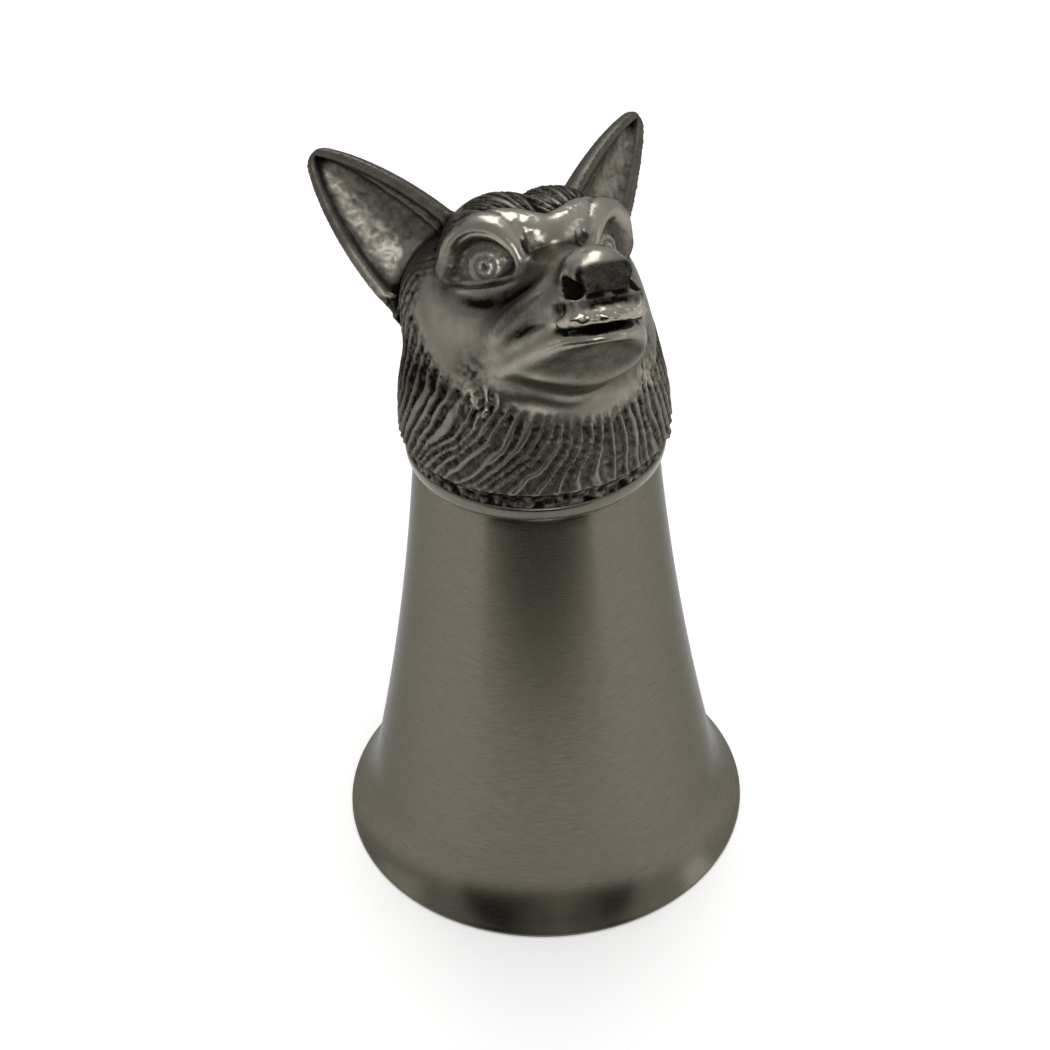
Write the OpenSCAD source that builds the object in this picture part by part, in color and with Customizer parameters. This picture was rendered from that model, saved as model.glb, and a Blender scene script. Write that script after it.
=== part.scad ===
// Fox-head stirrup cup: a spun metal cup that stands on its mouth and carries a cast fox head.
// Frame: +Z up, millimetres, origin at the centre of the mouth on the table, fox facing -Y.

/* [Cup] */
// Outer diameter of the mouth, the lip that the cup stands on
mouth_d = 64.5; // [60:0.5:70]
// Outer diameter of the wall just under the neck ring
top_d = 35.4; // [35:0.1:35.6]
// Outer diameter of the wall where the lip starts to flare
waist_d = 55; // [53:0.2:56]
// Height at which the wall turns into the closed end
wall_h = 68.3; // [60:0.1:76]
// Height of the flared lip
lip_h = 9; // [7:0.5:12]
// Draft of the wall at its top, in degrees from upright
top_draft = 5.7; // [4:0.1:7]
// Thickness of the spun sheet
wall_t = 0.9; // [0.7:0.1:1.3]
// Outer radius where the wall rounds into the closed end
shoulder_r = 2; // [1.8:0.1:2.4]

/* [Neck ring] */
// Height of the smooth turned edge
ring_h = 2.3; // [2:0.1:3]
// Largest diameter of the ring, at its top edge
ring_d = 37.3; // [37:0.1:37.8]
// Diameter of the ring's lower edge, just outside the cup
ring_foot_d = 35.9; // [35.8:0.1:36.4]
// Diameter of the recess that takes the closed end of the cup
recess_d = 35.1; // [35.1:0.1:35.3]
// Height of the spigot that centres the head
spigot_h = 2.4; // [1.5:0.1:4]

/* [Joints] */
// Thickness of the bond between the closed end and the ring
bond_t = 0.3; // [0.2:0.05:0.5]
// Height of the soldered seam between the ring and the head
seam_h = 2.4; // [1.6:0.1:3]
// Radial fit between the spigot and the neck of the head
spigot_fit = 0.15; // [0.05:0.05:0.3]

/* [Head] */
// Outer diameter of the neck, which sets the size of the whole head
neck_d = 38.6; // [38:0.1:40]
// Tilt of the face above level, in degrees
head_pitch = 29; // [24:0.5:34]
// Lean of the head to its left, in degrees
head_lean = 4.5; // [2:0.5:7]
// Wall of the casting at the neck
casting_t = 3.1; // [2.6:0.1:3.6]
// Length that the muzzle adds in front of the eyes
muzzle_len = 18; // [15:0.5:20]
// Length of the ear from the middle of its root to its tip
ear_len = 20.2; // [18:0.2:23]
// Half the width of the ear at its root
ear_half_w = 7.3; // [6:0.1:8]
// Depth of the ear's hollow at the root
ear_hollow = 3.2; // [2.6:0.1:4.4]
// How far the open face of the ear turns outwards, in degrees
ear_turned = 22; // [0:1:30]

/* [Hidden] */
steel = [0.56, 0.54, 0.49];
solder = [0.36, 0.35, 0.33];
cast_metal = [0.42, 0.40, 0.37];
$fn = 96;

// Wall of the cup: radius grows with the drop below wall_h as a shallow parabola
wall_drop = wall_h - lip_h;
draft_rate = tan(top_draft);
wall_bend = (waist_d / 2 - top_d / 2 - draft_rate * wall_drop) / pow(wall_drop, 2);
function wall_r(drop) = top_d / 2 + draft_rate * drop + wall_bend * drop * drop;
function wall_lean(drop) = atan(draft_rate + 2 * wall_bend * drop);
wall_steps = 16;

// Flared lip: an arc that leaves the wall at its own slope and ends at the mouth
flare_start = wall_lean(wall_drop);
flare_end = 2 * atan((mouth_d - waist_d) / 2 / lip_h) - flare_start;
flare_r = lip_h / (sin(flare_end) - sin(flare_start));
flare_c = [waist_d / 2 + flare_r * cos(flare_start), lip_h + flare_r * sin(flare_start)];
flare_in_end = asin(flare_c[1] / (flare_r + wall_t));
flare_steps = 10;

// Closed end: an arc from the top of the wall to a flat disc
shoulder_c = [top_d / 2 - shoulder_r * cos(top_draft), wall_h - shoulder_r * sin(top_draft)];
shoulder_steps = 8;
cup_top = shoulder_c[1] + shoulder_r;

// Stack above the cup
recess_h = 1.1;
recess_top = cup_top + bond_t;
ring_foot = recess_top - recess_h;
ring_top = ring_foot + ring_h;
neck_z = ring_top + seam_h;
bore_r = neck_d / 2 - casting_t;
edge_r = 0.4;

// The head's own frame: across, forward, up, round a centre on the axis of the cup
nominal_neck_d = 38.6;
unit = neck_d / nominal_neck_d;
head_rise = 20.9;
head_c = [0, 0, neck_z + head_rise * unit];
face_f = 6.2;
nose_f = face_f + muzzle_len;

function from_head(q) =
    let (
        y = -q[1] * cos(head_pitch) + q[2] * sin(head_pitch),
        z = q[1] * sin(head_pitch) + q[2] * cos(head_pitch)
    )
    head_c + unit * [
        q[0] * cos(head_lean) + z * sin(head_lean),
        y,
        z * cos(head_lean) - q[0] * sin(head_lean)
    ];

// Distance forms that are blended into the head; each is negative inside
function ball(p, c, r) =
    let (
        s = [for (i = [0:2]) (p[i] - c[i]) / r[i]],
        g = [for (i = [0:2]) s[i] / r[i]],
        n = norm(s)
    )
    n * (n - 1) / max(norm(g), 0.000001);
function taper(p, a, b, ra, rb) =
    let (
        d = b - a,
        h = min(max((p - a) * d / (d * d), 0), 1)
    )
    norm(p - a - h * d) - ra - (rb - ra) * h;
function blend(a, b, k) =
    let (h = max(k - abs(a - b), 0) / k)
    min(a, b) - h * h * k / 4;
function carve(a, b, k) = -blend(-a, b, k);

function block(p, c, half, r) =
    let (over = [for (i = [0:2]) abs(p[i] - c[i]) - half[i] + r])
    norm([for (v = over) max(v, 0)]) + min(max(over), 0) - r;
// Chain of round bars: each link holds a point and the radius there
function chain(p, links) =
    min([
        for (i = [0:len(links) - 2])
            taper(p, links[i][0], links[i + 1][0], links[i][1], links[i + 1][1])
    ]);

// Widths of the fillets between the forms
soft = 4;
easy = 3.2;
firm = 2.2;
lip = 1;
crisp = 0.5;

// Round neck that swells a little above its foot and closes over the crown
neck_mid = 0.9;
neck_rise = 26;
neck_slant = 0.03;
neck_size = [nominal_neck_d / 2, nominal_neck_d / 2, neck_rise];
function neck_form(q) =
    let (p = (from_head(q) - [0, 0, neck_z]) / unit)
    ball(p + [neck_slant * p[2], 0, 0], [0, 0, neck_mid], neck_size);

// Head forms in the head's frame: centre and radii, or a chain; those off the middle are mirrored
skull = [[0, -6, 0.2], [16.4, 13, 10.6]];
cheek = [[9, -2, -6], [6.6, 8.2, 10]];
jowl = [[7.8, 6, -5.5], [3.4, 5.4, 6]];
face = [[[0, 4, -0.8], 7.8], [[0, nose_f - 8.2, -1.6], 5.4]];
pad = [[[5.9, 10.5, -4.8], 3.6], [[3.4, nose_f - 3.7, -3], 3]];
bridge = [[[0, 12.5, 0.2], 4.3], [[0, nose_f - 3.2, 0.3], 3.7]];
throat = [[[0, 2, -10.5], 6], [[0, 12.5, -9.2], 3.6]];
brow = [
    [[12.4, 3.4, 4.2], 1.7],
    [[11, 5.2, 7], 2.1],
    [[8.4, 6.4, 8.2], 2.4],
    [[5.4, 7.6, 8.3], 2.5],
    [[2.6, 8.8, 7.6], 2.4],
    [[0, 9.2, 7], 2.3]
];

// Muzzle: flat upper lip, row of teeth, lower lip, two folds at its side and the nose
muzzle_c = [0, nose_f - 2.2, -2.4];
muzzle_half = [5.4, 3.6, 2.4];
muzzle_edge = 1.2;
teeth = [
    [[5.7, nose_f - 3.2, -4.2], 0.7],
    [[5, nose_f - 0.6, -4.1], 1],
    [[2.8, nose_f + 0.9, -4], 1.05],
    [[0, nose_f + 1.4, -4], 1.05]
];
lower_lip = [
    [[9.2, 10.6, -9.8], 0.3],
    [[7.9, 15.2, -8.6], 0.8],
    [[5.6, nose_f - 3.8, -7], 0.85],
    [[2.8, nose_f - 0.2, -6.8], 0.7],
    [[0, nose_f + 0.7, -6.7], 0.7]
];
fold = [
    [[5.4, 18.2, -0.5], 0.5],
    [[7.6, 14.8, -2.9], 1],
    [[9.1, 11.8, -5.4], 0.9],
    [[9.5, 9.8, -7.8], 0.2]
];
upper_lip = [
    [[9.4, 11, -7.6], 0.3],
    [[7.6, 16.4, -6.3], 0.9],
    [[5.2, nose_f - 3.8, -4.9], 0.9]
];
nose_top = [[0, nose_f - 1.8, 1.9], [4.5, 3.9, 2.7]];
nose_c = [0, nose_f - 0.8, 1.15];
nose_half = [4.5, 3.2, 1.5];
nose_edge = 1.2;
nostril = [
    [[4.4, nose_f + 2.2, -0.2], 0.7],
    [[5, nose_f + 0.4, -0.1], 1.2],
    [[5.2, nose_f - 1.8, 1], 0.6]
];
mouth = [
    [[-5.4, nose_f - 3.8, -5.6], 0.25],
    [[-4.2, nose_f - 0.6, -5.5], 0.5],
    [[0, nose_f + 1, -5.55], 0.38],
    [[4.6, nose_f - 0.6, -5.1], 0.22],
    [[6.2, nose_f - 3.8, -5], 0.15]
];

// Lower jaw: a rounded prow with a bevelled front, between the line of the lips and the throat
jaw_back = 10;
jaw_half = 9.5;
jaw_reach = nose_f - 9.7;
jaw_least = 4;
jaw_top = -6.3;
jaw_h = 6.8;
jaw_bevel = 1.05;
jaw_corner_drop = 2.4;
jaw_corner_rise = 3;
jaw_slack = 0.8;
function jaw_form(m) =
    let (
        arch = pow(m[0] / jaw_half, 2),
        deep = min(max(jaw_reach - jaw_bevel * (jaw_top - m[2]), jaw_least), jaw_reach + 1),
        plan = norm([m[0] / jaw_half, max(m[1] - jaw_back, 0) / deep]),
        side = (plan - 1) * deep * jaw_slack,
        roof = m[2] - jaw_top + jaw_corner_drop * arch,
        under = jaw_top - jaw_h + jaw_corner_rise * arch - m[2]
    )
    carve(carve(side, -roof, lip), -under, lip);

// Eye: its own frame looks outwards and forwards, with inner, up and out
eye_at = [8.9, 7.5, 3.6];
eye_turn = 39;
eye_in = [-cos(eye_turn), sin(eye_turn), 0];
eye_out = [sin(eye_turn), cos(eye_turn), 0];
function eye_point(v) = eye_at + v[0] * eye_in + [0, 0, v[1]] + v[2] * eye_out;
eyeball = [eye_point([0, 0.6, -9.3]), [9, 8.2, 9]];
socket = [eye_point([0, 1, 3.4]), [5, 4.4, 4.4]];
lid = [
    [eye_point([-5.2, -0.8, -0.8]), 0.5],
    [eye_point([-4.8, 1.5, -0.1]), 1],
    [eye_point([-3.3, 4, 0.2]), 1.35],
    [eye_point([-0.6, 5.2, 0.2]), 1.5],
    [eye_point([2.3, 4.5, 0.2]), 1.4],
    [eye_point([4.3, 2.5, 0.2]), 1.15],
    [eye_point([5, 0.4, 0]), 0.8],
    [eye_point([5.1, -1.2, -0.5]), 0.5]
];

function skull_form(q, m) =
    let (
        crown = blend(neck_form(q), ball(q, skull[0], skull[1]), soft),
        cheeks = blend(crown, ball(m, cheek[0], cheek[1]), soft),
        jowls = blend(cheeks, ball(m, jowl[0], jowl[1]), soft),
        front = blend(jowls, chain(q, face), soft)
    )
    blend(front, chain(q, throat), firm);
function face_form(base, q, m) =
    let (
        pads = blend(base, chain(m, pad), firm),
        ridge = blend(pads, chain(q, bridge), firm),
        brows = blend(ridge, chain(m, brow), firm),
        jaw = blend(brows, jaw_form(m), easy),
        muzzle = blend(jaw, block(q, muzzle_c, muzzle_half, muzzle_edge), lip),
        row = blend(muzzle, chain(m, teeth), crisp),
        low = blend(row, chain(m, lower_lip), lip),
        folds = blend(low, chain(m, fold), easy),
        lips = blend(folds, chain(m, upper_lip), lip),
        holes = carve(lips, ball(m, socket[0], socket[1]), lip),
        tip = blend(holes, ball(q, nose_top[0], nose_top[1]), lip),
        nose = blend(tip, block(q, nose_c, nose_half, nose_edge), lip),
        lids = blend(nose, chain(m, lid), crisp),
        eyes = blend(lids, ball(m, eyeball[0], eyeball[1]), crisp),
        nostrils = carve(eyes, chain(m, nostril), crisp)
    )
    carve(nostrils, chain(q, mouth), crisp);

// Far from the skin, or behind the face, the features of the face need not be looked at
face_from = 0;
far = 14;
far_slack = 12;
function head_form(q) =
    let (
        m = [abs(q[0]), q[1], q[2]],
        base = skull_form(q, m)
    )
    q[1] < face_from ? base : base > far ? base - far_slack : face_form(base, q, m);

// The skin is where rays from inside the head leave the form, ring by ring round the muzzle
skin_c = [0, 3, -3];
skin_far = 60;
skin_near = 0.01;
skin_pace = 0.9;
skin_tries = 40;
skin_rings = 54;
skin_sides = 88;
skin_even = 0.45;
function skin_polar(i) = 180 * (skin_even * i / skin_rings + (1 - skin_even) * pow(i / skin_rings, 2));
function skin_dir(polar, turn) =
    [sin(polar) * sin(turn), cos(polar), sin(polar) * cos(turn)];
function skin_reach(dir, reach, tries) =
    let (gap = head_form(skin_c + dir * reach))
    gap < skin_near || tries == 0 ? reach : skin_reach(dir, reach - gap * skin_pace, tries - 1);
function skin_point(polar, turn) =
    let (dir = skin_dir(polar, turn))
    from_head(skin_c + dir * skin_reach(dir, skin_far, skin_tries));

module head_skin() {
    rings = [
        for (i = [1:skin_rings - 1], j = [0:skin_sides - 1])
            skin_point(skin_polar(i), 360 * j / skin_sides)
    ];
    points = concat([skin_point(0, 0)], rings, [skin_point(180, 0)]);
    last = len(points) - 1;
    function at(i, j) = 1 + (i - 1) * skin_sides + j % skin_sides;
    nose_fan = [for (j = [0:skin_sides - 1]) [0, at(1, j), at(1, j + 1)]];
    sides = [
        for (i = [1:skin_rings - 2], j = [0:skin_sides - 1], half = [0, 1])
            half == 0
            ? [at(i, j), at(i + 1, j), at(i, j + 1)]
            : [at(i, j + 1), at(i + 1, j), at(i + 1, j + 1)]
    ];
    foot_fan = [for (j = [0:skin_sides - 1]) [last, at(skin_rings - 1, j + 1), at(skin_rings - 1, j)]];
    polyhedron(points, concat(nose_fan, sides, foot_fan));
}

// Ear frame: root between the crown and the cheek, leaf along, leaf across, and open face
ear_in = [8.4, -7.4, 9.8];
ear_out = [16.6, -9.4, 2.2];
ear_aim = [24.2, -12, 22];
ear_root = (ear_in + ear_out) / 2;
function unit_of(v) = v / norm(v);
ear_along = unit_of(ear_aim - ear_root);
ear_edge = ear_out - ear_in;
ear_level = unit_of(ear_edge - ear_along * (ear_edge * ear_along));
ear_ahead = cross(ear_along, ear_level);
ear_across = ear_level * cos(ear_turned) - ear_ahead * sin(ear_turned);
ear_open = ear_ahead * cos(ear_turned) + ear_level * sin(ear_turned);
ear_sunk = 4;
ear_stations = 8;
ear_wall = 1.8;
ear_thinning = 0.4;
ear_rim = 1.2;
ear_taper = 1.9;
ear_point = 0.8;
ear_tip_half = 0.7;
ear_tip_deep = 1.2;
ear_flat = 0.5;
ear_sides = 20;
scoop_end = 0.94;

function ear_half(t) = ear_half_w * pow(1 - pow(t, ear_taper), ear_point) + ear_tip_half;
function ear_deep(t) = ear_hollow * (1 - t) + ear_tip_deep;
function ear_scoop(t) = ear_rim + ear_deep(t) - ear_wall * (1 - ear_thinning * t);
function ear_turn(side, v) = (from_head([side * v[0], v[1], v[2]]) - head_c) / unit;

// One flat lens across the ear at station t, with its half depth and its shift out of the open face
module ear_lens(side, t, deep, out) {
    along = t * (ear_len + ear_sunk) - ear_sunk;
    base = head_c + unit * ear_turn(side, ear_root + ear_along * along + ear_open * out);
    w = ear_turn(side, ear_across);
    s = ear_turn(side, ear_along);
    v = ear_turn(side, ear_open);
    frame = [for (i = [0:2]) [w[i], s[i], v[i], base[i]]];
    multmatrix(frame)
        scale(unit * [ear_half(t), ear_flat, deep])
            sphere(1, $fn = ear_sides);
}

module ear(side) {
    difference() {
        for (k = [0:ear_stations - 1])
            hull() {
                for (t = [k, k + 1] / ear_stations)
                    ear_lens(side, t, ear_deep(t), 0);
            }
        for (k = [0:ear_stations - 1])
            hull() {
                for (t = [k, k + 1] / ear_stations * scoop_end)
                    ear_lens(side, t, ear_scoop(t), ear_rim);
            }
    }
}

// Spun cup: wall, flared lip and closed end of one sheet, open at the mouth
module cup() {
    wall_out = [
        for (i = [0:wall_steps])
            let (drop = wall_drop * i / wall_steps)
            [wall_r(drop), wall_h - drop]
    ];
    wall_in = [
        for (i = [wall_steps:-1:0])
            let (drop = wall_drop * i / wall_steps, lean = wall_lean(drop))
            [wall_r(drop) - wall_t * cos(lean), wall_h - drop - wall_t * sin(lean)]
    ];
    flare_out = [
        for (i = [1:flare_steps])
            let (a = flare_start + (flare_end - flare_start) * i / flare_steps)
            flare_c - flare_r * [cos(a), sin(a)]
    ];
    flare_in = [
        for (i = [flare_steps:-1:1])
            let (a = flare_start + (flare_in_end - flare_start) * i / flare_steps)
            flare_c - (flare_r + wall_t) * [cos(a), sin(a)]
    ];
    function shoulder(r) = [
        for (i = [1:shoulder_steps])
            let (a = top_draft + (90 - top_draft) * i / shoulder_steps)
            shoulder_c + r * [cos(a), sin(a)]
    ];
    function backward(list) = [for (i = [len(list) - 1:-1:0]) list[i]];
    section = concat(
        [[0, cup_top]], backward(shoulder(shoulder_r)), wall_out, flare_out,
        flare_in, wall_in, shoulder(shoulder_r - wall_t), [[0, cup_top - wall_t]]
    );
    color(steel)
        rotate_extrude()
            polygon(section);
}

// Thin disc of bond between the closed end of the cup and the ring
module cup_bond() {
    set_back = 0.2;
    color(solder)
        translate([0, 0, cup_top])
            cylinder(h = bond_t, r = shoulder_c[0] - set_back);
}

// Turned plate with a rounded edge: takes the cup below and centres the head above
module neck_ring() {
    foot_r = ring_foot_d / 2;
    edge_steps = 10;
    edge = [
        for (i = [0:edge_steps])
            let (a = 90 * i / edge_steps)
            [foot_r + (ring_d / 2 - foot_r) * sin(a), ring_top - edge_r - (ring_h - edge_r) * cos(a)]
    ];
    section = concat(
        [[0, recess_top], [recess_d / 2, recess_top], [recess_d / 2, ring_foot]],
        edge,
        [
            [ring_d / 2 - edge_r, ring_top],
            [bore_r - spigot_fit, ring_top],
            [bore_r - spigot_fit, ring_top + seam_h + spigot_h],
            [0, ring_top + seam_h + spigot_h]
        ]
    );
    color(cast_metal)
        rotate_extrude()
            polygon(section);
}

// Soldered seam that fills the gap between the head and the ring, set back a little from both edges
module head_solder() {
    set_back = 0.2;
    spigot_r = bore_r - spigot_fit;
    color(solder)
        rotate_extrude()
            polygon([
                [spigot_r, ring_top],
                [ring_d / 2 - set_back, ring_top],
                [neck_d / 2 - set_back, neck_z],
                [spigot_r, neck_z]
            ]);
}

// Hollow casting: neck, skull, muzzle and ears in one, open at the neck
module fox_head() {
    core_h = 22 * unit;
    core_step = 15;
    bore_room = 1;
    bore_h = spigot_h + bore_room;
    below = 1;
    foot_cut = 100;
    core = [
        [0, neck_z - below],
        [bore_r, neck_z - below],
        for (a = [0:core_step:90 - core_step])
            [bore_r * cos(a), neck_z + bore_h + (core_h - bore_h) * sin(a)],
        [0, neck_z + core_h]
    ];
    color(cast_metal)
        difference() {
            union() {
                head_skin();
                for (side = [-1, 1])
                    ear(side);
            }
            translate([0, 0, neck_z - foot_cut / 2])
                cube(foot_cut, center = true);
            rotate_extrude($fn = 48)
                polygon(core);
        }
}

cup();
cup_bond();
neck_ring();
head_solder();
fox_head();
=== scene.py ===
"""Looks of a fox-head stirrup cup: a brushed cup that stands on its mouth and carries a cast fox head.

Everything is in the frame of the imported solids: +Z up, fox facing -Y, cup standing on z = 0.
Shapes are worked out in millimetres and turned to metres when a mesh is made.
"""

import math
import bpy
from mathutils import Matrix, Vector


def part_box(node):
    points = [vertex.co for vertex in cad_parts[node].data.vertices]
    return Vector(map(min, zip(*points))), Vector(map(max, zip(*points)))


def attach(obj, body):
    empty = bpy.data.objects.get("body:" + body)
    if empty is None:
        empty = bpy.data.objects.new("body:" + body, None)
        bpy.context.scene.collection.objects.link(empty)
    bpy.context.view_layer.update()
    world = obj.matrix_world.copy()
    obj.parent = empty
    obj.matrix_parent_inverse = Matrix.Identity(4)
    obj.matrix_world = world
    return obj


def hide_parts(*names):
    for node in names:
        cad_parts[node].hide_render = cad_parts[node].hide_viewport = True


bl_info = {
    "name": "Fox head stirrup cup",
    "version": (1, 0, 0),
    "blender": (4, 5, 0),
    "location": "View3D > Sidebar > Stirrup cup",
    "description": "Builds a brushed stirrup cup with a cast fox head around its packed solids",
    "category": "Object",
}

from functools import partial
from typing import NamedTuple

import bpy
import numpy as np
import openvdb
from mathutils import Matrix, Vector

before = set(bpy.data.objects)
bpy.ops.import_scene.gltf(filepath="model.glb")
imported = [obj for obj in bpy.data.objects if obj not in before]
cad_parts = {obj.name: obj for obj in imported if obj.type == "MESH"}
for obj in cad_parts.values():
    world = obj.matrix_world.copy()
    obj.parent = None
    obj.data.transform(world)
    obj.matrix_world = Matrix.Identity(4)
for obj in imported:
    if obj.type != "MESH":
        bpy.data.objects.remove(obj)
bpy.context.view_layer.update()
MM = 0.001


def node_box(name):
    """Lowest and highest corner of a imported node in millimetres."""
    low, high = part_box(name)
    return np.array(low) / MM, np.array(high) / MM


_, CUP_HIGH = node_box("cup")
RING_LOW, RING_HIGH = node_box("neck_ring")
SEAM_LOW, SEAM_HIGH = node_box("head_solder")
HEAD_LOW, HEAD_HIGH = node_box("fox_head")
# Radius of the spigot that centres the head, and number of sides of the turned pieces
SPIGOT_R = SEAM_HIGH[0] - 3.05
SIDES = 192
# Angle between faces from which an edge is drawn sharp
SHARP = math.radians(50)


def linear(hex_colour):
    """Linear RGBA of an sRGB hex colour."""
    channels = [int(hex_colour[i:i + 2], 16) / 255 for i in (1, 3, 5)]
    return tuple(c / 12.92 if c <= 0.04045 else ((c + 0.055) / 1.055) ** 2.4 for c in channels) + (1.0,)


# Neutral tint that keeps the edges of the metals from turning white
EDGE_TINT = linear("#bfc0c0")


def length(name, description, size):
    """Length property whose default is given in millimetres."""
    return bpy.props.FloatProperty(
        name=name, description=description, default=size * MM, min=0.0, subtype="DISTANCE", unit="LENGTH"
    )


def angle(name, description, degrees):
    """Angle property whose default is given in degrees."""
    return bpy.props.FloatProperty(
        name=name, description=description, default=math.radians(degrees), subtype="ANGLE", unit="ROTATION"
    )


def colour(name, description, hex_colour):
    """Colour property whose default is given as an sRGB hex value."""
    return bpy.props.FloatVectorProperty(
        name=name, description=description, default=linear(hex_colour), size=4,
        min=0.0, max=1.0, subtype="COLOR"
    )


class CupSettings(bpy.types.PropertyGroup):
    """Sizes and finish of the spun cup"""

    waist_d: length("Waist diameter", "Outer diameter where the lip starts to flare", 55)
    top_d: length("Top diameter", "Outer diameter of the wall just under the neck ring", 35.4)
    wall_h: length("Wall height", "Height at which the wall turns into the closed end", 68.3)
    lip_h: length("Lip height", "Height of the flared lip", 9)
    wall_t: length("Sheet thickness", "Thickness of the spun sheet", 0.9)
    shoulder_r: length("Shoulder radius", "Outer radius where the wall rounds into the closed end", 2)
    top_draft: angle("Top draft", "Draft of the wall at its top, from upright", 5.7)
    brush_pitch: length("Brush line spacing", "Spacing of the brush lines as drawn", 0.16)
    steel: colour("Steel", "Brushed steel seen square on", "#736e62")
    line: colour("Brush line", "Floor of the brush lines", "#635f54")


class HeadSettings(bpy.types.PropertyGroup):
    """Sizes and finish of the cast fox head"""

    pitch: angle("Face tilt", "Tilt of the face above level", 29)
    lean: angle("Lean", "Lean of the head to its left", 4.5)
    neck_rise: length("Neck rise", "Height of the dome of the neck above its widest place", 26)
    ear_len: length("Ear length", "Length of the ear from the middle of its root", 20.1)
    ear_half_w: length("Ear half width", "Half the width of the ear at its root", 7.3)
    ear_turn: angle("Ear turn", "How far the open face of the ear turns outwards", 22)
    voxel: length("Skin step", "Spacing of the points of the skin", 0.315)
    fur_pitch: length("Fur spacing", "Spacing of the grooves of the fur", 1.9)
    fur_depth: length("Fur depth", "Depth of the grooves of the fur", 0.36)
    grain: length("Casting grain", "Size of the pits left by the mould", 0.35)
    # the pewter colour is also laid on as painted highlights, and the dark patina colour also as painted
    # shade and painted dark reflection
    pewter: colour("Pewter", "Polished high places", "#9c968a")
    worn: colour("Grey pewter", "Plain cast skin", "#555149")
    antique_and_shade: colour("Antique", "Dark patina in the recesses", "#15130f")


class StageSettings(bpy.types.PropertyGroup):
    """Floor, light and camera"""

    floor: colour("Floor", "Plain pale floor", "#f4f3f0")
    azimuth: angle("Camera azimuth", "Turn of the camera round the cup, from the fox's nose", -21)
    camera_back: length("Camera distance", "Level distance from the axis of the cup to the camera", 211.84)
    camera_h: length("Camera height", "Height of the camera above the table", 216.67)
    camera_pitch: angle("Camera pitch", "How far the camera looks down", 37.4)
    camera_roll: angle("Camera roll", "Roll of the camera", -1.97)
    camera_yaw: angle("Camera yaw", "Turn of the camera away from the axis of the cup", -0.53)


def add_node(tree, kind, inputs=None, output=0, **settings):
    """Adds a shader node with its settings; each input is a constant or the socket that feeds it.
    Gives back one output, or all of them where output is None."""
    node = tree.nodes.new("ShaderNode" + kind)
    for name, value in settings.items():
        setattr(node, name, value)
    for name, value in (inputs or {}).items():
        if isinstance(value, bpy.types.NodeSocket):
            tree.links.new(value, node.inputs[name])
        else:
            node.inputs[name].default_value = value
    return node.outputs if output is None else node.outputs[output]


def empty_tree(owner):
    """Clears the nodes of a material or world, and gives it back with what adds nodes to it."""
    owner.use_nodes = True
    owner.node_tree.nodes.clear()
    return owner, partial(add_node, owner.node_tree)


def make_piece(name, points, faces, material, slot, *nodes):
    """Makes a smooth mesh from points in millimetres, rides it on the cup and lets it stand for its nodes."""
    mesh = bpy.data.meshes.new(name)
    mesh.from_pydata((np.asarray(points) * MM).tolist(), [], [list(face) for face in faces])
    mesh.shade_smooth()
    mesh.set_sharp_from_angle(angle=SHARP)
    mesh.materials.append(material)
    piece = bpy.data.objects.new(name, mesh)
    bpy.context.scene.collection.objects.link(piece)
    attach(piece, "root")
    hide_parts(*nodes)
    return piece


def lathe(section, sides):
    """Revolves a section of (radius, height) points round Z; a section off the axis closes on itself."""
    on_axis = section[0][0] == 0
    rings = section[1:-1] if on_axis else section
    turns = [2 * math.pi * j / sides for j in range(sides)]
    points = [(r * math.cos(turn), r * math.sin(turn), z) for r, z in rings for turn in turns]
    steps = len(rings) - 1 if on_axis else len(rings)
    faces = []
    for i in range(steps):
        row, below = i * sides, (i + 1) % len(rings) * sides
        for j in range(sides):
            k = (j + 1) % sides
            faces.append((row + k, row + j, below + j, below + k))
    if on_axis:
        first, last = len(points), len(points) + 1
        points += [(0, 0, section[0][1]), (0, 0, section[-1][1])]
        bottom = (len(rings) - 1) * sides
        for j in range(sides):
            k = (j + 1) % sides
            faces.append((first, j, k))
            faces.append((last, bottom + k, bottom + j))
    return points, faces


def polar(centre, radius, turn):
    """Point of a section at a distance from another; the angle runs in radians from +R towards +Z."""
    return centre[0] + radius * math.cos(turn), centre[1] + radius * math.sin(turn)


def arc(centre, radius, start, end, steps):
    """Points of an arc in a section."""
    return [polar(centre, radius, turn) for turn in np.linspace(start, end, steps + 1)]


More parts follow.
